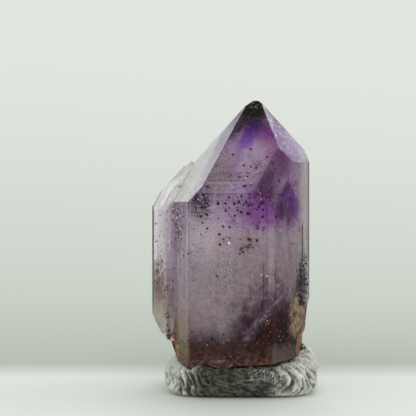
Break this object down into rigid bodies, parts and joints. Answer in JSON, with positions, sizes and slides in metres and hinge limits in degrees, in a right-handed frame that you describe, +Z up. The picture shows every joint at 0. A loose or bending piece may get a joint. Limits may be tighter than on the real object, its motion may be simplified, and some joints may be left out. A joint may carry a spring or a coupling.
{
  "type": "amethyst crystal point on putty",
  "caption": "Clear violet quartz point with a thin plate grown along its left side, blunt tip and broken foot, held upright in a pressed pad of grey putty.",
  "frame": {"origin": "centre of the putty pad's flat underside", "axes": "+Z up, towards the tip of the point; the front face of the point looks along -Y"},
  "size_m": [0.0276, 0.0249, 0.047],
  "materials": {
    "amethyst": "clear to violet quartz with a rough iron-stained foot",
    "putty": "matte grey mineral putty with pulled wrinkles"
  },
  "bodies": {
    "root": {"amethyst_point": "amethyst", "putty_pad": "putty"}
  },
  "joints": []
}
